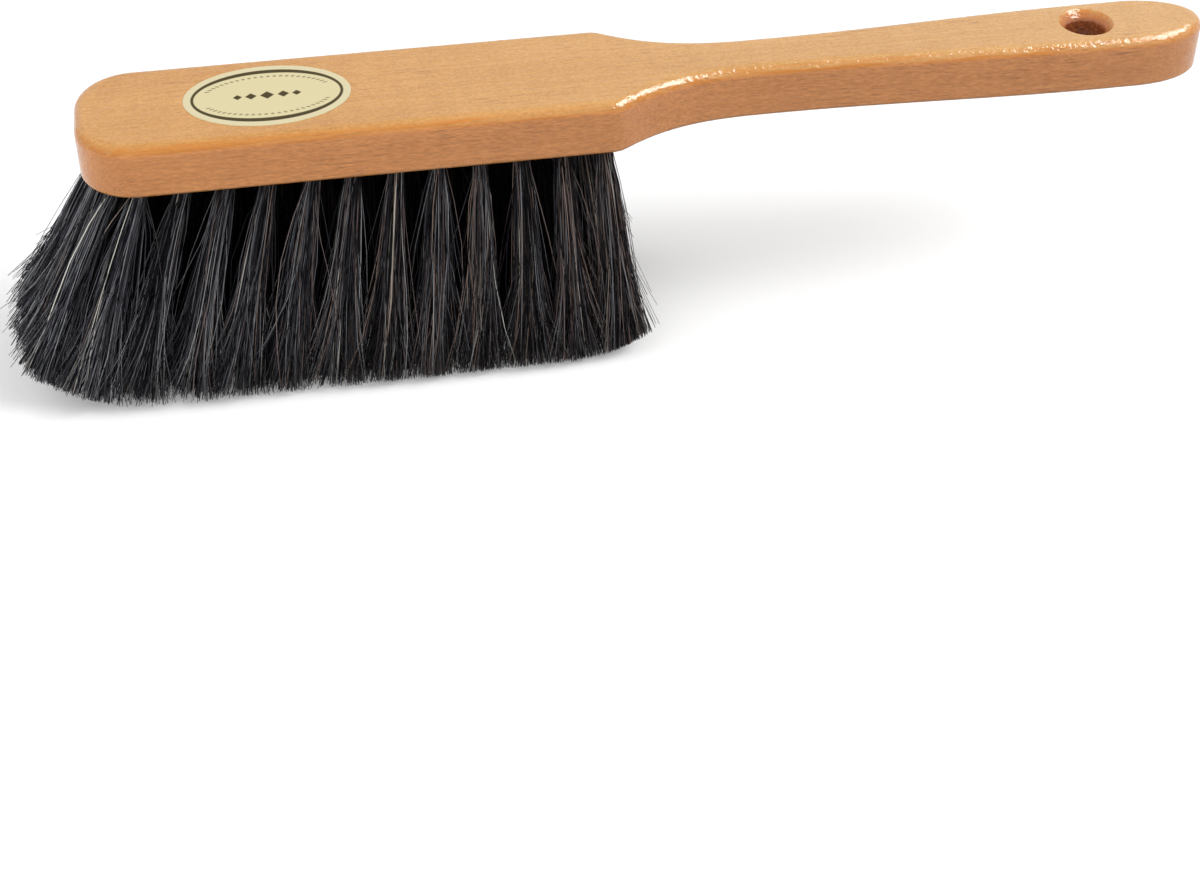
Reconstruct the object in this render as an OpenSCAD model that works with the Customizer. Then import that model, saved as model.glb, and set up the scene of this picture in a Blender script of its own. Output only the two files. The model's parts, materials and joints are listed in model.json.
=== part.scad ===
// Hand brush: a one-piece beech stock, drilled from below, with horsehair tufts set in the holes.
// Millimetres, +Z up. The brush stands on its bristle tips at Z = 0, with its handle along +X.
// The origin is the middle of its footprint. Left and right are those of the person who holds it.

/* [Stock] */
// Length of the stock, front edge to handle end
stock_len = 300; // [290:1:330]
// Thickness of the board that the stock is cut from
stock_t = 14.6; // [13:0.2:18]
// Length of the head, front edge to shoulder
head_len = 137; // [125:1:145]
// Width of the head
head_w = 40; // [38:0.5:48]
// Radius of the head's front corners, in plan
front_r = 15; // [12:0.5:18]
// Round-over along the top edges
top_round = 3; // [1:0.25:4]
// Round-over along the bottom edges
base_round = 1.2; // [0.4:0.1:2]

/* [Handle] */
// Width of the handle at its neck
neck_w = 17; // [14:0.5:20]
// Distance from the shoulder to the narrowest part of the neck
neck_at = 41.5; // [30:0.5:55]
// Sharpness of the sweep from the shoulder into the neck
neck_sweep = 2.75; // [2:0.05:4]
// Width of the handle at the grip
grip_w = 23.4; // [21:0.2:28]
// Distance from the handle end to where the grip is widest
grip_at = 29; // [24:1:40]
// Length of the handle's rounded end
end_len = 20; // [12:1:22]

/* [Hanging hole] */
// Diameter of the hanging hole
hang_d = 10; // [6:0.5:12]
// Distance from the handle end to the hole's centre
hang_at = 32.5; // [24:0.5:45]
// Widening of the hanging hole at each face, on its radius
hang_flare = 2.3; // [0.5:0.1:3]
// Depth of that widening
hang_flare_depth = 2.7; // [0.5:0.1:4]

/* [Tufts] */
// Tufts along each straight side of the head
side_tufts = 12; // [8:1:13]
// Diameter of a tuft's hole
tuft_d = 5; // [4:0.1:5.4]
// Depth of a tuft's hole, along the hole
tuft_depth = 9.5; // [7:0.5:11]
// Distance from the head's edge to the centres of the holes round it
edge_inset = 5.5; // [4.5:0.25:6.5]
// Distance from the shoulder to the last hole of an outer row
back_inset = 4; // [3.5:0.5:10]
// Distance between the two middle rows
middle_gap = 9.7; // [8:0.1:11]
// Free length of the bristles
bristle_len = 62; // [45:1:75]
// Forward lean of the tufts round the front
nose_lean = 27; // [22:1:32]
// Forward lean of the first tufts along the sides
front_lean = 21; // [10:1:26]
// Backward lean of the last tufts
back_lean = 5; // [0:1:12]
// Sideways lean of the outer rows
side_lean = 8; // [5:1:14]

/* [Strands] */
// Strands in a tuft's inner ring
inner_strands = 3; // [2:1:3]
// Strands in a tuft's outer ring
outer_strands = 6; // [4:1:7]
// Thickness of a strand, across its corners
strand_d = 1; // [0.6:0.05:1.1]
// Distance from the outer strands' roots to the edge of the bound end
root_margin = 0.3; // [0.2:0.05:0.4]
// Distance from a tuft's axis to its outer strands at the tips
splay = 5; // [3:0.25:5.25]
// Distance from a tuft's axis to its inner strands at the tips
inner_splay = 2.2; // [1:0.1:2.6]
// Depth that the longest tips are trimmed flat
tip_trim = 0.5; // [0.3:0.1:1]

/* [Anchors] */
// Thickness of the flat wire that an anchor is cut from
anchor_t = 0.5; // [0.3:0.05:0.8]
// Width of that wire, along the hole
anchor_h = 1.8; // [1:0.1:2.5]
// How far each end of an anchor bites into the hole's wall
anchor_bite = 0.3; // [0.1:0.05:0.5]
// Turn of an anchor in its hole, from the length of the brush
anchor_turn = 45; // [0:5:90]
// Thickness of the folded hair between an anchor and the bottom of the hole
fold_t = 1.2; // [0.6:0.1:2]

/* [Label] */
// Length of the oval label
label_len = 42.6; // [30:0.2:50]
// Width of the oval label
label_w = 29.4; // [20:0.2:30]
// Thickness of the label's paper
label_t = 0.15; // [0.1:0.05:0.4]
// Distance from the front edge to the label's centre
label_at = 48.7; // [35:0.1:90]

/* [Fits] */
// Clearance round a tuft in its hole, and round an anchor in its seat
tuft_fit = 0.05; // [0.02:0.01:0.12]

/* [Hidden] */
// Colours
beech = [0.80, 0.55, 0.30];
horsehair = [0.09, 0.085, 0.085];
paper = [0.93, 0.88, 0.74];
steel = [0.62, 0.63, 0.65];

// Fineness of round walls, and the steps along each stretch of the outline
$fn = 48;
corner_steps = 8;
neck_steps = 12;
grip_steps = 8;
end_steps = 9;
base_steps = 2;
top_steps = 5;
label_steps = 60;

// Overlap of a cutter with open air
over = 1;
// How far a strand's root reaches into the tuft's bound end
root_embed = 1;
// How gently the strands leave the tuft's axis
splay_curve = 1.4;
// Rings of corners along a strand, and corners in a ring
strand_rings = 3;
strand_sides = 3;

// Places along the handle and on the head
neck_x = head_len + neck_at;
grip_x = stock_len - grip_at;
hang_x = stock_len - hang_at;
hang_r = hang_d/2;
outer_y = head_w/2 - edge_inset;
middle_y = middle_gap/2;
first_x = front_r;
last_x = head_len - back_inset;
side_pitch = (last_x - first_x)/(side_tufts - 1);
middle_pitch = (last_x - side_pitch/2 - edge_inset)/(side_tufts - 1);
corner_offset = (front_r - edge_inset)*cos(45);

// Sizes of a tuft's bound end, and its two rings of strands as [root radius, tip radius, angle]
bound_r = tuft_d/2 - tuft_fit;
root_r = bound_r - strand_d/2 - root_margin;
inner_root_r = root_r*inner_splay/splay;
function ring(count, r0, r1, turn) = [for (i = [0:count - 1]) [r0, r1, 360*(i + turn)/count]];
STRANDS = concat(
    ring(inner_strands, inner_root_r, inner_splay, 0),
    ring(outer_strands, root_r, splay, 0.5)
);

// The lean of a row changes evenly from its front to its back
function row_lean(x) = -front_lean + (front_lean + back_lean)*(x - first_x)/(last_x - first_x);

// One side's tufts as [x, y, forward or backward lean, sideways lean], x from the front edge
OUTER = concat(
    [[front_r - corner_offset, head_w/2 - front_r + corner_offset, -nose_lean, side_lean]],
    [for (i = [0:side_tufts - 1])
        let (x = first_x + i*side_pitch)
        [x, outer_y, row_lean(x), side_lean]]
);
MIDDLE = [for (i = [0:side_tufts - 1])
    let (x = edge_inset + i*middle_pitch)
    [x, middle_y, i == 0 ? -nose_lean : row_lean(x), side_lean*middle_y/outer_y]];
HALF = concat(OUTER, MIDDLE);

SIDES = ["left", "right"];
function two_digits(n) = n < 10 ? str("0", n) : str(n);
function tuft_name(side, i) = i < len(OUTER)
    ? str(side, "_outer_tuft_", two_digits(i + 1))
    : str(side, "_middle_tuft_", two_digits(i + 1 - len(OUTER)));

// Axes of a tuft: out along the hair, along the brush and across it
function unit(v) = v/norm(v);
function hair_axis(tuft) = unit([tan(tuft[2]), tan(tuft[3]), -1]);
function long_axis(tuft) = unit(cross(hair_axis(tuft), [0, 1, 0]));
function cross_axis(tuft) = cross(-hair_axis(tuft), long_axis(tuft));

// A corner of a strand's untrimmed ring, from the front edge and the stock's underside
function free_corner(tuft, strand, j, k) =
    let (
        t = j/(strand_rings - 1),
        r = strand[0] + (strand[1] - strand[0])*pow(t, splay_curve),
        turn = strand[2] + 360*k/strand_sides,
        along = r*cos(strand[2]) + strand_d/2*cos(turn),
        across = r*sin(strand[2]) + strand_d/2*sin(turn),
        out = (bristle_len + root_embed)*t - root_embed
    )
    [tuft[0], tuft[1], 0] + along*long_axis(tuft) + across*cross_axis(tuft) + out*hair_axis(tuft);

// The lowest untrimmed tip sets the height at which the stock stands
tip = strand_rings - 1;
corners = [0:strand_sides - 1];
lowest_tip = min([for (t = HALF) for (s = STRANDS) for (k = corners) free_corner(t, s, tip, k)[2]]);
stand_h = -lowest_tip - tip_trim;

// A strand's corner with the tip trimmed at the plane that the brush stands on
function strand_corner(tuft, strand, j, k) =
    let (
        p = free_corner(tuft, strand, j, k),
        q = free_corner(tuft, strand, max(j - 1, 0), k)
    )
    p[2] >= -stand_h ? p : q + (p - q)*(q[2] + stand_h)/(q[2] - p[2]);

// The foremost tip and the handle end set the middle of the footprint
front_tip = min([for (t = HALF) for (s = STRANDS) for (k = corners) strand_corner(t, s, tip, k)[0]]);
middle_x = (front_tip + stock_len)/2;

// Plan outline of the stock, clockwise from above, starting at the front
function front_corner() = [for (i = [0:corner_steps])
    let (a = 180 - 90*i/corner_steps)
    [front_r + front_r*cos(a), head_w/2 - front_r + front_r*sin(a)]];
function neck() = [for (i = [0:neck_steps])
    let (t = i/neck_steps)
    [head_len + neck_at*t, neck_w/2 + (head_w - neck_w)/2*pow(1 - t, neck_sweep)]];
function grip() = [for (i = [1:grip_steps])
    let (t = i/grip_steps)
    [neck_x + (grip_x - neck_x)*t, neck_w/2 + (grip_w - neck_w)/4*(1 - cos(180*t))]];
function handle_end() = [for (i = [0:end_steps - 1])
    let (a = 90 - 90*i/end_steps)
    [stock_len - end_len + end_len*cos(a), grip_w/2*sin(a)]];
EDGE = concat(front_corner(), neck(), grip(), handle_end());
OUTLINE = concat(
    EDGE,
    [[stock_len, 0]],
    [for (i = [len(EDGE) - 1:-1:0]) [EDGE[i][0], -EDGE[i][1]]]
);

// A point of the outline moved inwards, square to both of its edges
function inward(p, q) = unit([q[1] - p[1], p[0] - q[0]]);
function inset_point(i, d) =
    let (
        n = len(OUTLINE),
        here = OUTLINE[i],
        a = inward(OUTLINE[(i + n - 1) % n], here),
        b = inward(here, OUTLINE[(i + 1) % n])
    )
    here + d*(a + b)/(1 + a*b);

// The stock's rings from the underside to the top, as [inset, height]
RINGS = concat(
    [for (i = [0:base_steps])
        let (a = 90*i/base_steps)
        [base_round*(1 - sin(a)), base_round*(1 - cos(a))]],
    [for (i = [0:top_steps])
        let (a = 90*i/top_steps)
        [top_round*(1 - cos(a)), stock_t - top_round + top_round*sin(a)]]
);

// Moves a piece from the head's front edge and underside to where the brush stands
module standing() {
    translate([-middle_x, 0, stand_h])
        children();
}

// Tufts are laid out on the right and mirrored to the left
module on_side(side) {
    if (side == "left")
        mirror([0, 1, 0])
            children();
    else
        children();
}

// Puts a piece in a tuft's own axes: origin at the hole's mouth, +Z into the wood
module at_tuft(tuft) {
    x = long_axis(tuft);
    y = cross_axis(tuft);
    z = -hair_axis(tuft);
    multmatrix([
        [x[0], y[0], z[0], tuft[0]],
        [x[1], y[1], z[1], tuft[1]],
        [x[2], y[2], z[2], 0]
    ])
        children();
}

// The board cut to its outline, with all edges rounded over
module board() {
    n = len(OUTLINE);
    last = len(RINGS) - 1;
    half = len(EDGE);
    points = [for (ring = RINGS) for (i = [0:n - 1])
        let (p = inset_point(i, ring[0]))
        [p[0], p[1], ring[1]]];
    walls = [for (j = [0:last - 1]) for (i = [0:n - 1])
        let (a = j*n + i, b = j*n + (i + 1) % n)
        each [[a, b, b + n], [a, b + n, a + n]]];
    strips = [for (i = [0:half - 2])
        let (a = n - 1 - i)
        each [[i, i + 1, a - 1], [i, a - 1, a]]];
    top = concat(strips, [[half - 1, half, half + 1]]);
    above = [for (f = top) [for (i = f) i + last*n]];
    below = [for (f = top) [f[2], f[1], f[0]]];
    polyhedron(points, concat(walls, above, below));
}

// The hanging hole, flared towards both faces
module hang_hole() {
    mouth_r = hang_r + hang_flare;
    translate([hang_x, 0, 0])
        rotate_extrude()
            polygon([
                [0, -over], [mouth_r, -over], [mouth_r, 0], [hang_r, hang_flare_depth],
                [hang_r, stock_t - hang_flare_depth], [mouth_r, stock_t],
                [mouth_r, stock_t + over], [0, stock_t + over]
            ]);
}

// The flat wire across a tuft's hole, with room left round it
module anchor_wire(room) {
    size = [
        tuft_d + 2*anchor_bite + 2*room,
        anchor_t + 2*room,
        anchor_h + 2*room
    ];
    translate([0, 0, tuft_depth - fold_t - anchor_h/2])
        rotate(anchor_turn)
            cube(size, center = true);
}

// A strand: a three-sided stem that bends away from the tuft's axis
module strand(tuft, s) {
    n = strand_sides;
    points = [for (j = [0:tip]) for (k = corners) strand_corner(tuft, s, j, k)];
    walls = [for (j = [0:tip - 1]) for (k = corners)
        let (a = j*n + k, b = j*n + (k + 1) % n)
        each [[a, b, b + n], [a, b + n, a + n]]];
    root_face = [for (k = corners) n - 1 - k];
    tip_face = [for (k = corners) tip*n + k];
    polyhedron(points, concat(walls, [root_face, tip_face]));
}

// Beech stock: head and handle in one piece, with its blind tuft holes and the seats of the anchors
module stock() {
    color(beech)
        standing()
            difference() {
                board();
                hang_hole();
                for (side = SIDES)
                    on_side(side)
                        for (t = HALF)
                            at_tuft(t) {
                                translate([0, 0, -tuft_d])
                                    cylinder(d = tuft_d, h = tuft_depth + tuft_d);
                                anchor_wire(tuft_fit);
                            }
            }
}

// Oval paper label, glued flat on top of the head
module label() {
    color(paper)
        standing()
            translate([label_at, 0, stock_t])
                linear_extrude(label_t)
                    polygon([for (i = [0:label_steps - 1])
                        let (a = 360*i/label_steps)
                        [label_len/2*cos(a), label_w/2*sin(a)]]);
}

// Flat wire anchors, one over the fold of each tuft
module anchors() {
    color(steel)
        standing()
            for (side = SIDES)
                on_side(side)
                    for (t = HALF)
                        at_tuft(t)
                            anchor_wire(0);
}

// A tuft: its folded, bound end fills the hole round the anchor, and its strands fan out below
module tuft(side, i) {
    color(horsehair)
        standing()
            on_side(side)
                union() {
                    at_tuft(HALF[i])
                        difference() {
                            cylinder(r = bound_r, h = tuft_depth - tuft_fit);
                            anchor_wire(tuft_fit);
                        }
                    for (s = STRANDS)
                        strand(HALF[i], s);
                }
}

stock();
label();
anchors();
for (side = SIDES)
    for (i = [0:len(HALF) - 1])
        tuft(side, i);
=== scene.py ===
import json
from math import cos, pi, radians, sin, tan

import bmesh
import bpy
import numpy as np
from mathutils import Matrix, Vector


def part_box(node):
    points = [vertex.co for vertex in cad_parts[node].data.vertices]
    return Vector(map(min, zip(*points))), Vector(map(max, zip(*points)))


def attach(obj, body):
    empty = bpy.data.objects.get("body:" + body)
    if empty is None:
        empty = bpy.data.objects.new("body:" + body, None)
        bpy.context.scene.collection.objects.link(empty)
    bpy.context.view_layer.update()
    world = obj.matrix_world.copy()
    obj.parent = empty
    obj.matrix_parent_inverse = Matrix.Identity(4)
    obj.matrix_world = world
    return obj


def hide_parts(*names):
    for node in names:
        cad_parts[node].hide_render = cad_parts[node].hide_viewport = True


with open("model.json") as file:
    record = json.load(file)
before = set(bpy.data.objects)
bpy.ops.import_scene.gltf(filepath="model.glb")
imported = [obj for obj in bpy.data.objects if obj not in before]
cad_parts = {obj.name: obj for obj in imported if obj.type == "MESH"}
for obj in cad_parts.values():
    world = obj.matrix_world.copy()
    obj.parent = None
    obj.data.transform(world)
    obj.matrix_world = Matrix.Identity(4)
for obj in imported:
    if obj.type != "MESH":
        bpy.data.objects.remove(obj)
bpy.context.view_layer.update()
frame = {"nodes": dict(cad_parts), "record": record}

mm = 0.001

# Beech stock
# Head and handle are one board of steamed beech, sawn to outline, rounded over along every edge,
# drilled from below for the tufts and finished with a clear gloss lacquer.
stock_low, stock_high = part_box("stock")
front_x, end_x = stock_low.x, stock_high.x
under_z, top_z = stock_low.z, stock_high.z
head_half = stock_high.y
front_r = 15 * mm
shoulder_x = front_x + 137 * mm
shoulder_soft = 2.5 * mm
neck_len = 41.5 * mm
neck_half = 8.5 * mm
neck_sweep = 2.75
grip_x = end_x - 29 * mm
grip_half = 11.7 * mm
end_len = 20 * mm
base_round = 1.2 * mm
top_round = 3 * mm
hang = frame["record"]["mounts"][0]
hang_x = hang["pos_m"][0]
hang_r = hang["dims"]["r_mm"] * mm
hang_flare = 2.3 * mm
hang_flare_depth = 2.7 * mm
tuft_hole_r = 2.5 * mm
tuft_depth = 9.5 * mm
grain_wave = 6 * mm
skin_depth = 0.25 * mm

face_light, face_dark = (0.64, 0.328, 0.096, 1), (0.45, 0.194, 0.038, 1)
# The grip's tones are the head's top tones with a painted sheen: a pale reflection painted into the colour.
grip_light_with_sheen, grip_dark_with_sheen = (0.67, 0.385, 0.150, 1), (0.51, 0.260, 0.080, 1)
side_light, side_dark = (0.75, 0.305, 0.090, 1), (0.52, 0.182, 0.041, 1)
nose_light, nose_dark = (0.88, 0.352, 0.096, 1), (0.62, 0.226, 0.052, 1)
# Deeper amber for the round-overs: partly the grain cut across there, partly painted shade for the darker
# reflection along the edges.
edge_amber_and_shade = (0.60, 0.205, 0.022, 1)
# The hang hole's countersink and bore are darker than the faces: partly the end grain that the drill cut,
# partly painted shade in the hole.
flare_amber_shaded = (0.45, 0.148, 0.034, 1)
bore_brown_shaded, bore_pale_shaded = (0.19, 0.050, 0.014, 1), (0.34, 0.108, 0.038, 1)
ray_fleck = (0.25, 0.080, 0.024, 1)


def run(count, place):
    """Places along one stretch of an outline, both ends included."""
    return [place(i / count) for i in range(count + 1)]


def neck(t):
    return shoulder_x + neck_len * t, neck_half + (head_half - neck_half) * (1 - t) ** neck_sweep


def front_corner(t):
    turn = pi - pi / 2 * t
    return front_x + front_r * (1 + cos(turn)), head_half - front_r * (1 - sin(turn))


def shoulder(t):
    before = np.array((shoulder_x - shoulder_soft, head_half))
    corner = np.array((shoulder_x, head_half))
    after = np.array(neck(shoulder_soft / neck_len))
    return tuple((1 - t) ** 2 * before + 2 * t * (1 - t) * corner + t ** 2 * after)


def grip(t):
    x = shoulder_x + neck_len
    return x + (grip_x - x) * t, neck_half + (grip_half - neck_half) * (1 - cos(pi * t)) / 2


def handle_end(t):
    turn = pi / 2 * (1 - t)
    return end_x - end_len + end_len * cos(turn), grip_half * sin(turn)


def new_piece(name, points, faces):
    """A mesh object at rest in the brush's own frame."""
    mesh = bpy.data.meshes.new(name)
    mesh.from_pydata(points, [], faces)
    piece = bpy.data.objects.new(name, mesh)
    bpy.context.collection.objects.link(piece)
    return piece


def mend_normals(piece):
    shape = bmesh.new()
    shape.from_mesh(piece.data)
    bmesh.ops.recalc_face_normals(shape, faces=shape.faces)
    shape.to_mesh(piece.data)
    shape.free()


def ring_walls(rings, sides):
    """Quads between rings of points that follow one another."""
    return [(j * sides + i, j * sides + (i + 1) % sides,
             (j + 1) * sides + (i + 1) % sides, (j + 1) * sides + i)
            for j in range(rings - 1) for i in range(sides)]


def loft_stock():
    """The board as a stack of rings, inset at both edges by their round-overs."""
    skip = shoulder_soft / neck_len
    edge = run(24, front_corner)
    edge += run(8, shoulder)
    edge += run(40, lambda t: neck(skip + (1 - skip) * t))[1:]
    edge += run(32, grip)[1:]
    edge += run(32, handle_end)[:-1]
    outline = np.array(edge + [(end_x, 0)] + [(x, -y) for x, y in reversed(edge)])
    along = np.roll(outline, -1, axis=0) - outline
    inward = np.column_stack((along[:, 1], -along[:, 0]))
    inward /= np.linalg.norm(inward, axis=1)[:, None]
    before = np.roll(inward, 1, axis=0)
    mitre = (inward + before) / (1 + (inward * before).sum(axis=1))[:, None]
    rings = [(base_round * (1 - sin(a)), under_z + base_round * (1 - cos(a)))
             for a in np.linspace(0, pi / 2, 5)]
    rings += [(top_round * (1 - cos(a)), top_z - top_round * (1 - sin(a)))
              for a in np.linspace(0, pi / 2, 11)]
    points = [(*p, z) for inset, z in rings for p in outline + inset * mitre]
    n, half = len(outline), len(edge)
    faces = ring_walls(len(rings), n)
    for first in (0, (len(rings) - 1) * n):
        faces += [tuple(first + i for i in (k, k + 1, n - 2 - k, n - 1 - k)) for k in range(half - 1)]
        faces.append(tuple(first + i for i in (half - 1, half, half + 1)))
    return points, faces


def turned(profile, sides, place):
    """A closed solid of revolution: profile holds (radius, height) pairs off the axis."""
    points = [place(r * cos(a), r * sin(a), h)
              for r, h in profile for a in np.arange(sides) * 2 * pi / sides]
    faces = ring_walls(len(profile), sides)
    faces.append(tuple(range(sides)))
    faces.append(tuple(range((len(profile) - 1) * sides, len(profile) * sides)))
    return points, faces


def drill(piece, points, faces):
    """Cuts a closed shape out of a piece, and keeps the result as the piece's mesh."""
    bit = new_piece("drill_bit", points, faces)
    mend_normals(bit)
    cut = piece.modifiers.new("drill", "BOOLEAN")
    cut.object = bit
    cut.solver = "EXACT"
    cut_mesh = bpy.data.meshes.new_from_object(piece.evaluated_get(bpy.context.evaluated_depsgraph_get()))
    piece.modifiers.clear()
    piece.data = cut_mesh
    bpy.data.objects.remove(bit)


# Where each tuft stands: the layout of the drilled holes, front to back in four rows
edge_inset = 5.5 * mm
last_tuft_x = shoulder_x - 4 * mm
middle_y = 4.85 * mm
side_tufts = 12
nose_lean, front_lean, back_lean, side_lean = 27, 21, 5, 8
first_tuft_x = front_x + front_r
outer_y = head_half - edge_inset
side_pitch = (last_tuft_x - first_tuft_x) / (side_tufts - 1)
middle_pitch = (last_tuft_x - side_pitch / 2 - edge_inset - front_x) / (side_tufts - 1)
corner_offset = (front_r - edge_inset) * cos(pi / 4)


def row_lean(x):
    return -front_lean + (front_lean + back_lean) * (x - first_tuft_x) / (last_tuft_x - first_tuft_x)


class Tuft:
    """A tuft's place: the hole's mouth, and the axes out along the hair, along and across the brush."""

    def __init__(self, node, x, y, lean, tilt):
        self.node = node
        self.mouth = np.array((x, y, under_z))
        out = np.array((tan(radians(lean)), tan(radians(tilt)), -1))
        self.out = out / np.linalg.norm(out)
        along = np.cross(self.out, (0, 1, 0))
        self.along = along / np.linalg.norm(along)
        self.across = np.cross(-self.out, self.along)

    def place(self, a, b, h):
        return tuple(self.mouth + a * self.along + b * self.across + h * self.out)


tufts = []
for side, sign in (("left", -1), ("right", 1)):
    corner_y = head_half - front_r + corner_offset
    tufts.append(Tuft(f"{side}_outer_tuft_01", front_x + front_r - corner_offset, sign * corner_y,
                      -nose_lean, sign * side_lean))
    for i in range(side_tufts):
        x = first_tuft_x + i * side_pitch
        tufts.append(Tuft(f"{side}_outer_tuft_{i + 2:02d}", x, sign * outer_y, row_lean(x),
                          sign * side_lean))
    for i in range(side_tufts):
        x = front_x + edge_inset + i * middle_pitch
        lean = row_lean(x) if i else -nose_lean
        tufts.append(Tuft(f"{side}_middle_tuft_{i + 1:02d}", x, sign * middle_y, lean,
                          sign * side_lean * middle_y / outer_y))

stock = new_piece("beech_stock", *loft_stock())
mend_normals(stock)
flare = [(hang_r + hang_flare * (1 - t) ** 1.3, hang_flare_depth * t) for t in np.linspace(-0.12, 1, 12)]
rim = [(r, under_z + h) for r, h in flare] + [(r, top_z - h) for r, h in reversed(flare)]
drill(stock, *turned(rim, 64, lambda a, b, h: (hang_x + a, b, h)))
holes, hole_faces = [], []
for tuft in tufts:
    hole = [(tuft_hole_r, -tuft_depth), (tuft_hole_r, tuft_hole_r * 2)]
    points, faces = turned(hole, 24, tuft.place)
    hole_faces += [tuple(len(holes) + i for i in face) for face in faces]
    holes += points
drill(stock, holes, hole_faces)
stock.data.polygons.foreach_set("use_smooth", [True] * len(stock.data.polygons))
stock.data.set_sharp_from_angle(angle=radians(40))
stock.modifiers.new("flat_faces_stay_flat", "WEIGHTED_NORMAL").keep_sharp = True


class Wire:
    """One output of a shader node. Arithmetic on it adds Math nodes to its tree."""

    def __init__(self, tree, socket=None):
        self.tree = tree
        self.socket = socket

    def add(self, kind, settings={}, inputs={}, output=0):
        """Adds a node, makes its settings, fills or links its sockets and gives one of its outputs."""
        node = self.tree.nodes.new("ShaderNode" + kind)
        for name, value in settings.items():
            if name == "stops":
                for i, (place, colour) in enumerate(value):
                    stop = node.color_ramp.elements[i] if i < 2 else node.color_ramp.elements.new(place)
                    stop.position, stop.color = place, colour
            else:
                setattr(node, name, value)
        for name, value in inputs.items():
            if isinstance(value, Wire):
                self.tree.links.new(value.socket, node.inputs[name])
            else:
                node.inputs[name].default_value = value
        return Wire(self.tree, node.outputs[output])

    def output(self, name):
        """Another output of the same node."""
        return Wire(self.tree, self.socket.node.outputs[name])

    def maths(self, operation, *values):
        return self.add("Math", {"operation": operation}, dict(enumerate(values)))

    def __add__(self, other):
        return self.maths("ADD", self, other)

    def __sub__(self, other):
        return self.maths("SUBTRACT", self, other)

    def __rsub__(self, other):
        return self.maths("SUBTRACT", other, self)

    def __mul__(self, other):
        return self.maths("MULTIPLY", self, other)

    def __truediv__(self, other):
        return self.maths("DIVIDE", self, other)

    def __pow__(self, other):
        return self.maths("POWER", self, other)

    def __abs__(self):
        return self.maths("ABSOLUTE", self)

    __radd__ = __add__

    def between(self, low, high):
        """0 up to low, 1 from high on, smooth between."""
        return self.add("MapRange", {"interpolation_type": "SMOOTHSTEP"}, {0: self, 1: low, 2: high})

    def blend(self, a, b, mode="MIX"):
        """Colour a where this mask is 0, and b where it is 1."""
        return self.add("Mix", {"data_type": "RGBA", "blend_type": mode}, {0: self, 6: a, 7: b}, 2)

    def stretched(self, x, y, z):
        return self.add("VectorMath", {"operation": "MULTIPLY"}, {0: self, 1: (x, y, z)})

    def noise(self, detail=2.0, roughness=0.5):
        return self.add("TexNoise", {}, {
            "Vector": self, "Scale": 1.0, "Detail": detail, "Roughness": roughness})

    def shown(self):
        """Makes this shader the material's surface."""
        self.tree.links.new(self.socket, self.tree.nodes["Material Output"].inputs["Surface"])


def new_finish(name):
    """A material with nothing but its output, and where its nodes start."""
    material = bpy.data.materials.new(name)
    material.use_nodes = True
    for node in list(material.node_tree.nodes):
        if node.type != "OUTPUT_MATERIAL":
            material.node_tree.nodes.remove(node)
    return material, Wire(material.node_tree)


def coat_with(piece, material):
    piece.data.materials.clear()
    piece.data.materials.append(material)


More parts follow.
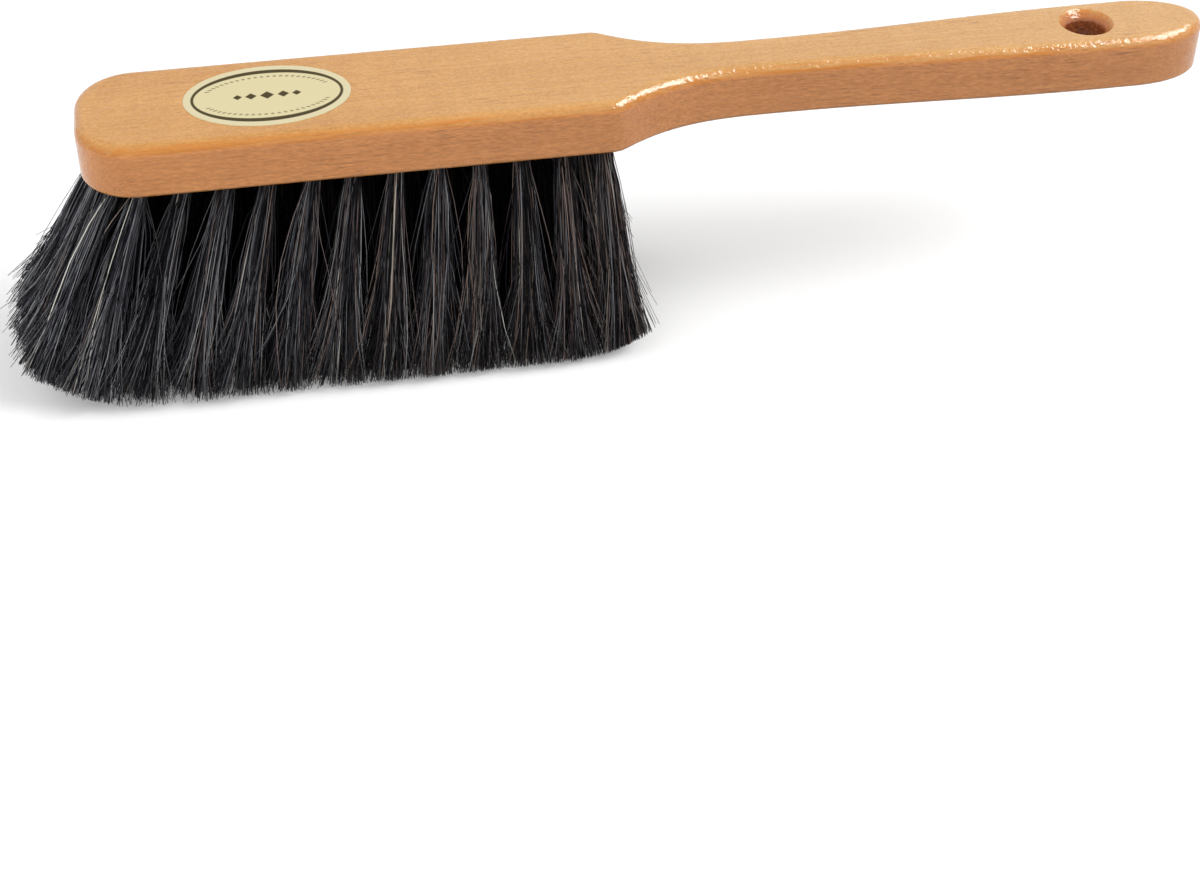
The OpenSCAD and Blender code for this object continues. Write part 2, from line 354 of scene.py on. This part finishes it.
def lacquered_beech():
    """Straight grain along the board, short dark rays and a gloss lacquer, with a painted sheen on the top
    towards the handle and painted shade on the round-overs and in the hang hole. Noise is in waves per
    metre.
    """
    finish, start = new_finish("lacquered_beech")
    place = start.add("TexCoord", {}, {}, "Object")
    facing = start.add("NewGeometry", {}, {}, "Normal")
    upright = abs(start.add("SeparateXYZ", {}, {0: facing}, "Z"))
    side = 1 - upright
    drift = place.stretched(9, 35, 35).noise(1)
    sideways = start.add("CombineXYZ", {}, {1: drift, 2: drift})
    waved = start.add("VectorMath", {"operation": "MULTIPLY_ADD"},
                      {0: sideways, 1: (0, grain_wave, grain_wave), 2: place})
    bands = waved.stretched(8, 110, 110).noise(3)
    lines = waved.stretched(30, 900, 900).noise(3)
    curl = place.stretched(190, 30, 30).noise(2)
    mottle = place.stretched(1000, 1300, 1300).noise(4, 0.75)
    rays = waved.stretched(450, 2300, 2300).noise(3, 0.6)
    dashes = waved.stretched(140, 2400, 2400).noise(1)
    patches = place.stretched(40, 120, 120).noise(1)
    on_side = side.between(0.35, 0.85)
    tone = (bands.between(0.25, 0.75) * 0.22 + lines.between(0.3, 0.7) * 0.2 + curl.between(0.3, 0.7) * 0.12
            + on_side.blend(mottle.between(0.37, 0.63), rays.between(0.38, 0.62)) * 0.46)
    x = start.add("SeparateXYZ", {}, {0: place}, "X")
    along = x.between(front_x, end_x)
    # Painted sheen: the top face pales from the head's tones to the grip's towards the handle end.
    face = along.blend(tone.blend(face_light, face_dark), tone.blend(grip_light_with_sheen, grip_dark_with_sheen))
    near_nose = (1 - along) ** 3 * 0.8
    edge = near_nose.blend(tone.blend(side_light, side_dark), tone.blend(nose_light, nose_dark))
    colour = on_side.blend(face, edge)
    # The round-overs turn deeper amber, streaked with the grain: partly the colour of the cut grain, partly
    # painted shade.
    rounded = (upright * side * 4).between(0.35, 0.9)
    colour = (rounded * (lines.between(0.4, 0.6) * 0.65 + 0.2)).blend(colour, edge_amber_and_shade)
    fleck = dashes.between(0.60, 0.70) * patches.between(0.3, 0.7) * 0.45
    colour = fleck.blend(colour, ray_fleck)
    from_hole = start.add("VectorMath", {"operation": "SUBTRACT"}, {0: place, 1: (hang_x, 0, 0)})
    hole_x = start.add("SeparateXYZ", {}, {0: from_hole}, "X")
    off_axis = (hole_x ** 2 + hole_x.output("Y") ** 2) ** 0.5
    # Painted shade in the hang hole, on top of its end grain: the countersink turns deeper amber and the
    # bore dark brown.
    in_flare = 1 - off_axis.between(hang_r + 0.4 * hang_flare, hang_r + hang_flare)
    in_bore = 1 - off_axis.between(hang_r, hang_r + 0.9 * mm)
    bore = mottle.between(0.4, 0.6).blend(bore_brown_shaded, bore_pale_shaded)
    colour = in_bore.blend((in_flare * 0.9).blend(colour, flare_amber_shaded), bore)
    skin = place.stretched(700, 1150, 1150).noise(2)
    lacquer = start.add("Bump", {}, {"Strength": 1.0, "Distance": skin_depth, "Height": skin + lines * 0.3})
    start.add("BsdfPrincipled", {}, {
        "Base Color": colour, "Roughness": 0.11, "IOR": 1.5, "Normal": lacquer}).shown()
    return finish


coat_with(stock, lacquered_beech())
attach(stock, "root")
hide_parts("stock")

# Paper label
# A cream oval of paper, printed with a dark ring, two arcs of dots and a row of plain lozenges,
# and glued flat on top of the head.
label_low, label_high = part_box("label")
label_mid = (label_low + label_high) / 2
label_half = (label_high - label_low) / 2
ring_outside = (19.35 * mm, 12.65 * mm)
ring_inside = (18.6 * mm, 11.0 * mm)
dot_oval = (16.6 * mm, 9.3 * mm)
dot_count = 64
dot_half_len, dot_half_width = 0.3, 0.045
arc_end = 0.37
lozenges = [(0, 1.8 * mm), (4.1 * mm, 1.5 * mm), (7.5 * mm, 1.2 * mm)]  # off the middle, half size

cream = (0.62, 0.56, 0.365, 1)
cream_inside = (0.62, 0.555, 0.335, 1)
fibre_tan = (0.60, 0.49, 0.24, 1)
ink = (0.055, 0.040, 0.012, 1)
dot_ink = 0.6


def oval_label():
    """A thin oval with its upper edge slightly rounded."""
    sides = 160
    edge = 0.06 * mm
    rings = [(0, label_low.z), (0, label_high.z - edge), (0.3 * edge, label_high.z - 0.3 * edge),
             (edge, label_high.z)]  # inset, height
    turns = np.arange(sides) * 2 * pi / sides
    points = [(label_mid.x + (label_half.x - inset) * cos(a), (label_half.y - inset) * sin(a), z)
              for inset, z in rings for a in turns]
    faces = ring_walls(len(rings), sides)
    last = (len(rings) - 1) * sides
    faces += [tuple(reversed(range(sides))), tuple(range(last, last + sides))]
    return points, faces


def printed_paper():
    finish, start = new_finish("printed_paper")
    place = start.add("TexCoord", {}, {}, "Object")
    from_middle = start.add("VectorMath", {"operation": "SUBTRACT"}, {0: place, 1: label_mid})
    x = start.add("SeparateXYZ", {}, {0: from_middle}, "X")
    y = x.output("Y")

    def oval(half):
        return ((x / half[0]) ** 2 + (y / half[1]) ** 2) ** 0.5

    def lozenge(at, half):
        return 1 - ((abs(abs(x) - at) + abs(y)) / half).between(0.9, 1.1)

    ring = (1 - oval(ring_outside).between(0.99, 1.01)) * oval(ring_inside).between(0.99, 1.01)
    turn = start.maths("ARCTAN2", y / dot_oval[1], x / dot_oval[0])
    step = abs(start.maths("FRACT", turn * (dot_count / (2 * pi)) + dot_count) - 0.5)
    off_row = abs(oval(dot_oval) - 1) / dot_half_width
    dots = 1 - ((step / dot_half_len) ** 2 + off_row ** 2).between(0.6, 1.2)
    dots = dots * abs(y / dot_oval[1]).between(arc_end - 0.01, arc_end + 0.01) * dot_ink
    ornament = lozenge(*lozenges[0]) + lozenge(*lozenges[1]) + lozenge(*lozenges[2])
    fibres = place.stretched(2600, 2600, 2600).noise(2)
    paper = oval(ring_inside).between(0.98, 1.02).blend(cream_inside, cream)
    paper = ((fibres - 0.5) * 0.25 + 0.1).blend(paper, fibre_tan)
    printed = start.maths("MAXIMUM", start.maths("MAXIMUM", ring, dots), ornament)
    start.add("BsdfPrincipled", {}, {
        "Base Color": printed.blend(paper, ink), "Roughness": 0.55,
        "Specular IOR Level": 0.12}).shown()
    return finish


label = new_piece("paper_label", *oval_label())
mend_normals(label)
coat_with(label, printed_paper())
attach(label, "root")
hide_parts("label")

# Anchors
# Short lengths of flat steel wire, one driven into the fold of each tuft. They stay hidden in the
# holes, so they keep the solids of the CAD and only get their finish here.
steel_dark, steel_light = (0.36, 0.36, 0.37, 1), (0.56, 0.56, 0.57, 1)


def drawn_steel():
    finish, start = new_finish("drawn_steel")
    place = start.add("TexCoord", {}, {}, "Object")
    scratches = place.stretched(900, 900, 9000).noise(2)
    start.add("BsdfPrincipled", {}, {
        "Base Color": scratches.blend(steel_dark, steel_light),
        "Roughness": 0.3 + scratches * 0.2, "Metallic": 1.0}).shown()
    return finish


coat_with(frame["nodes"]["anchors"], drawn_steel())

# Horsehair tufts
# Bundles of black horsehair with a few brown and fair hairs among them, folded in half, pulled into
# the holes, combed out and trimmed to a flat foot with rounded edges.
hairs_per_tuft = 600
locks_per_tuft = 110
hair_steps = 6
hair_r = 0.125 * mm
fair_from = 0.9925
fair_thicker = 1.4
hair_len = 62 * mm
short_share = 0.10
bundle_r = 2.2 * mm
root_in_lock, root_apart = 0.78, 0.22
outer_spread = np.array((7.4, 6.0)) * mm
middle_spread = np.array((7.4, 9.0)) * mm
foot_r = 25.8 * mm
foot_slope = 0.85
foot_from, foot_to = front_x + 11.7 * mm, shoulder_x - 14.7 * mm
tips_above_floor = 0.3 * mm
early_fan, late_fan = 0.6, 2.5
held_loose, free_loose = 0.2, 1.0
stray_share, far_share = 0.05, 0.012
flyaway_share, flyaway_fan = 0.008, 0.9
lock_scatter, hair_scatter, stray_scatter = 0.2, 0.32, 0.9
lock_bow, hair_bow = 0.7 * mm, 0.5 * mm
stray_bow, far_bow = np.array((1.8, 0.8)) * mm, np.array((3.5, 1.0)) * mm
hair_wave = 0.45 * mm
hair_frizz = np.array((1.4, 0.8)) * mm
frizzy_from, frizzier = 0.85, (2.5, 1.5)
ragged_cut = 1.2 * mm
nose_reach, nose_tuck, nose_round = 29.5 * mm, 20 * mm, 22 * mm

# Tones that each hair draws at random, from black up to fair. The grey stops between are partly grey hair,
# partly painted sheen standing in for the glints on black hair.
cool_tones_and_sheen = [
    (0.0, (0.004, 0.004, 0.006)),
    (0.42, (0.025, 0.025, 0.032)),
    (0.66, (0.110, 0.112, 0.130)),
    (0.88, (0.35, 0.355, 0.38)),
    (0.990, (0.52, 0.52, 0.53)),
    (fair_from, (0.88, 0.84, 0.75)),
]
warm_tones_and_sheen = [
    (0.0, (0.004, 0.004, 0.004)),
    (0.42, (0.029, 0.024, 0.025)),
    (0.66, (0.136, 0.108, 0.106)),
    (0.88, (0.39, 0.30, 0.28)),
    (0.990, (0.56, 0.40, 0.31)),
    (fair_from, (0.88, 0.83, 0.72)),
]
# Painted shade for the hair behind the nose: it keeps this share of its colour, so the nose's hair stands
# lighter, as if lit more.
painted_shade_behind_nose = (0.72, 0.72, 0.72, 1)
# How much of its colour each row's hair keeps: the middle rows are painted dark, as painted shade for lying
# deep in the brush.
outer_row_painted_shade, inner_row_painted_shade = 1.0, 0.12


def in_disc(chance, count):
    turn = chance.uniform(0, 2 * pi, count)
    return np.sqrt(chance.uniform(0, 1, count))[:, None] * np.column_stack((np.cos(turn), np.sin(turn)))


def front_trim(z):
    """How far forward hair may end at a height: the front of the brush is trimmed round."""
    return front_x - nose_reach + nose_tuck * np.clip(1 - z / nose_round, 0, 1) ** 1.1


def foot_rise(x, y):
    """How high hair ends past the rounded foot that the brush stands on."""
    past = np.maximum(np.maximum(foot_from - x, x - foot_to), 0)
    return foot_slope * np.maximum(np.hypot(past, y) - foot_r, 0)


def hair_paths(tuft, fan, loose, lock, chance):
    """Every hair's line from its hole to its cut end. A low fan spreads early, a high loose strays far."""
    lock_root = in_disc(chance, locks_per_tuft)
    lock_tip = lock_root * chance.uniform(0.65, 1.1, (locks_per_tuft, 1))
    lock_tip += chance.normal(0, lock_scatter, (locks_per_tuft, 2))
    root = root_in_lock * lock_root[lock] + root_apart * in_disc(chance, hairs_per_tuft)
    gather = chance.uniform(0.1, 1.0, (hairs_per_tuft, 1)) ** 2
    tip = lock_tip[lock] + gather * chance.normal(0, hair_scatter, (hairs_per_tuft, 2))
    draw = chance.uniform(0, 1, hairs_per_tuft)
    stray, far = draw < stray_share, draw < far_share
    tip[stray] += loose * chance.normal(0, stray_scatter, (stray.sum(), 2))
    root = root * bundle_r
    spread = middle_spread if "middle" in tuft.node else outer_spread
    tip = np.clip(tip, (-1.7, -1.3), (1.7, 1.3)) * spread * chance.uniform(0.92, 1.08)
    tip += chance.normal(0, 0.6 * mm, 2)
    bow = chance.normal(0, lock_bow, (locks_per_tuft, 2))[lock]
    bow += chance.normal(0, hair_bow, (hairs_per_tuft, 2))
    bow[stray] += loose * chance.normal(0, stray_bow, (stray.sum(), 2))
    bow[far] += loose * chance.normal(0, far_bow, (far.sum(), 2))
    wave = chance.normal(0, hair_wave, (hairs_per_tuft, 2))
    frizz = chance.normal(0, hair_frizz, (hairs_per_tuft, 2))
    frizz[draw > frizzy_from] *= frizzier
    ease = np.where(draw < flyaway_share, flyaway_fan, fan)[:, None, None]
    length = hair_len * (1.01 - np.abs(chance.normal(0, 0.02, hairs_per_tuft)))
    short = chance.uniform(0, 1, hairs_per_tuft) < short_share
    length[short] *= chance.uniform(0.72, 0.97, short.sum())

    def at(t):
        """Places at shares t of each hair's own length, from the hole's mouth."""
        free = np.clip(t, 0, 1)[:, :, None]
        side = root[:, None] + (tip - root)[:, None] * free ** ease + frizz[:, None] * free ** 3
        side = side + bow[:, None] * np.sin(pi * free) + wave[:, None] * np.sin(2 * pi * free)
        out = length[:, None] * t
        return (tuft.mouth + side[:, :, :1] * tuft.along + side[:, :, 1:] * tuft.across
                + out[:, :, None] * tuft.out)

    tries = np.linspace(0.5, 1, 41)
    ends = at(np.tile(tries, (hairs_per_tuft, 1)))
    ragged = np.abs(chance.normal(0, ragged_cut, (hairs_per_tuft, 1)))
    x, y, z = np.moveaxis(ends, 2, 0)
    above = z > tips_above_floor + foot_rise(x, y) + 0.25 * ragged
    kept = above & (x > front_trim(z) + ragged)
    reach = tries[np.maximum(np.cumprod(kept, axis=1).sum(axis=1) - 1, 0)]
    shares = np.concatenate(([-0.05], np.linspace(0, 1, hair_steps)))
    return at(shares[None] * reach[:, None])


def hair_mesh(tuft, paths, lock, chance):
    """Three-sided stems. Each hair has its own strip of the map: across it its tone, up it its length."""
    count, rings = paths.shape[:2]
    turn = chance.uniform(0, 2 * pi, (count, 1, 1)) + np.arange(3) * 2 * pi / 3
    taper = np.linspace(1.0, 0.75, rings)[None, :, None]
    shade = chance.uniform(0, 1, locks_per_tuft)[lock] + chance.normal(0, 0.36, count)
    tone = np.argsort(np.argsort(shade))[:, None, None]
    thick = hair_r * chance.uniform(0.75, 1.15, (count, 1, 1)) * taper
    thick[tone[:, 0, 0] >= fair_from * count] *= fair_thicker
    points = (paths[:, :, None] + (thick * np.cos(turn))[..., None] * tuft.along
              + (thick * np.sin(turn))[..., None] * tuft.across)
    hair, ring, k = np.meshgrid(np.arange(count), np.arange(rings - 1), np.arange(3), indexing="ij")
    corner = (hair * rings + ring) * 3
    walls = np.stack((corner + k, corner + (k + 1) % 3, corner + 3 + (k + 1) % 3, corner + 3 + k), -1)
    left, right = (tone + k / 3) / count, (tone + (k + 1) / 3) / count
    low, high = 0.01 + 0.97 * ring / (rings - 1), 0.01 + 0.97 * (ring + 1) / (rings - 1)
    wall_map = np.stack((left, low, right, low, right, high, left, high), -1)
    first = np.arange(count) * rings * 3
    root_caps = np.stack((first + 2, first + 1, first), -1)
    tip_caps = np.stack((first, first + 1, first + 2), -1) + (rings - 1) * 3
    edge = tone[:, 0, 0] / count

    def cap_map(base, point):
        """A cap's triangle on the map: its base as wide as the hair's strip, its point in the middle."""
        flat = np.full(count, base)
        return np.stack((edge, flat, edge + 1 / count, flat, edge + 0.5 / count, np.full(count, point)), -1)

    faces = walls.reshape(-1, 4).tolist() + root_caps.tolist() + tip_caps.tolist()
    piece = new_piece(f"hair_{tuft.node}", points.reshape(-1, 3).tolist(), faces)
    hair_map = (wall_map.ravel(), cap_map(0.009, 0.001).ravel(), cap_map(0.981, 0.999).ravel())
    piece.data.uv_layers.new(name="OFBake").data.foreach_set("uv", np.concatenate(hair_map))
    piece.data.polygons.foreach_set("use_smooth", [True] * len(faces))
    return piece


def horsehair(name, row_painted_shade):
    """Black hair with brown and fair hairs among it. Its grey hairs are partly painted sheen, hair behind
    the nose is painted darker, and a row lying deep in the brush is painted darker still: painted shade.
    """
    finish, start = new_finish(name)
    strip = start.add("UVMap", {"uv_map": "OFBake"})
    tone = start.add("SeparateXYZ", {}, {0: strip}, "X")
    place = start.add("TexCoord", {}, {}, "Object")

    def lit(stops):
        return [(at, (r * row_painted_shade, g * row_painted_shade, b * row_painted_shade, 1)) for at, (r, g, b) in stops]

    cool = start.add("ValToRGB", {"stops": lit(cool_tones_and_sheen)}, {0: tone})
    warm = start.add("ValToRGB", {"stops": lit(warm_tones_and_sheen)}, {0: tone})
    x = start.add("SeparateXYZ", {}, {0: place}, "X")
    own = start.add("TexWhiteNoise", {"noise_dimensions": "1D"},
                    {"W": start.maths("FLOOR", tone * hairs_per_tuft)}, "Value")
    warmth = (own + x.between(front_x, shoulder_x) * 0.5 + 0.08).between(0.95, 1.05)
    # Painted shade: hair behind the nose is darkened, so the hair at the nose looks more lit.
    behind = x.between(front_x - 15 * mm, front_x + 30 * mm)
    colour = behind.blend(warmth.blend(cool, warm), painted_shade_behind_nose, "MULTIPLY")
    start.add("BsdfPrincipled", {}, {
        "Base Color": colour, "Roughness": 0.35, "Specular IOR Level": 0.04}).shown()
    return finish


outer_hair = horsehair("horsehair", outer_row_painted_shade)
# Painted shade: the middle rows' hair is darkened to a small share of its colour.
inner_hair_painted_shade = horsehair("inner_horsehair", inner_row_painted_shade)
for i, tuft in enumerate(tufts):
    chance = np.random.default_rng(100 + i)
    lock = chance.integers(0, locks_per_tuft, hairs_per_tuft)
    at_end = tuft.node.endswith(("tuft_01", "middle_tuft_12", "outer_tuft_13"))
    inside = "middle" in tuft.node and not at_end
    fan = early_fan if inside else late_fan
    loose = held_loose if at_end else free_loose
    paths = hair_paths(tuft, fan, loose, lock, chance)
    hair = hair_mesh(tuft, paths, lock, chance)
    coat_with(hair, inner_hair_painted_shade if inside else outer_hair)
    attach(hair, "root")
    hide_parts(tuft.node)

# Studio
# A white table under a white sky that is brighter overhead, with a soft light and a window's gleam
# at the right and a wide fill at the left. The table shows itself white and keeps a light shadow.
table_lighting, table_seen = (0.22, 0.22, 0.22, 1), (0.82, 0.82, 0.82, 1)
table_glow = 0.17
sky_low, sky_rise = 0.24, 0.38

floor = new_piece("floor", [(-4, -4, 0), (4, -4, 0), (4, 4, 0), (-4, 4, 0)], [(0, 1, 2, 3)])
floor_finish, start = new_finish("white_table")


def seen(start):
    """1 for what the camera sees, straight or in a gloss or through glass."""
    path = start.add("LightPath", {}, {}, "Is Camera Ray")
    return start.maths("MAXIMUM", start.maths("MAXIMUM", path, path.output("Is Glossy Ray")),
                       path.output("Is Transmission Ray"))


floor_seen = seen(start)
start.add("BsdfPrincipled", {}, {
    "Base Color": floor_seen.blend(table_lighting, table_seen), "Roughness": 1.0,
    "Specular IOR Level": 0.0, "Emission Color": floor_seen.blend((0, 0, 0, 1), (1, 1, 1, 1)),
    "Emission Strength": table_glow}).shown()
coat_with(floor, floor_finish)

scene = bpy.context.scene
scene.view_settings.view_transform = "Standard"
scene.world = bpy.data.worlds.new("white_sky")
scene.world.use_nodes = True
sky = Wire(scene.world.node_tree)
overhead = sky.add("SeparateXYZ", {}, {0: sky.add("TexCoord", {}, {}, "Generated")}, "Z").between(0, 1)
sky_light = sky_low + overhead * sky_rise
strength = sky_light + seen(sky) * (1 - sky_light)
background = sky.tree.nodes["Background"]
background.inputs["Color"].default_value = (1, 1, 1, 1)
sky.tree.links.new(strength.socket, background.inputs["Strength"])


def soft_light(name, towards, power, size, turn=0):
    """A far softbox that faces the brush: its direction, its light at the brush, its angles in degrees."""
    away = 4
    lamp = bpy.data.lights.new(name, "AREA")
    lamp.shape = "ELLIPSE"
    lamp.size, lamp.size_y = (2 * away * tan(radians(angle) / 2) for angle in size)
    lamp.energy = power * pi * (away ** 2 + lamp.size * lamp.size_y / 4)
    holder = bpy.data.objects.new(name, lamp)
    facing = Vector(towards).to_track_quat("Z", "Y").to_matrix().to_4x4()
    stand = Matrix.Translation(away * Vector(towards).normalized())
    holder.matrix_world = stand @ facing @ Matrix.Rotation(radians(turn), 4, "Z")
    bpy.context.collection.objects.link(holder)
    return holder


soft_light("right_light", (0.650, -0.237, 0.722), 2.05, (40, 24), -31).visible_glossy = False
soft_light("right_gleam", (0.620, -0.109, 0.777), 5.0, (52, 25)).visible_diffuse = False
soft_light("left_fill", (-0.74, -0.40, 0.54), 1.7, (85, 85)).visible_glossy = False

camera_at = Vector((-93.77, -494.74, 364.45)) * mm
azimuth, elevation, roll = radians(-10.582), radians(39.388), radians(0.244)
back = Vector((sin(azimuth) * cos(elevation), -cos(azimuth) * cos(elevation), sin(elevation)))
right = Vector((0, 0, 1)).cross(back).normalized()
up = back.cross(right)
camera = bpy.data.objects.new("camera", bpy.data.cameras.new("camera"))
camera.data.lens = 66
camera.data.sensor_width = 36
camera.data.clip_start = 0.01
camera.matrix_world = Matrix.Translation(camera_at) @ Matrix((
    right * cos(roll) + up * sin(roll), up * cos(roll) - right * sin(roll), back)).transposed().to_4x4()
bpy.context.collection.objects.link(camera)
scene.camera = camera
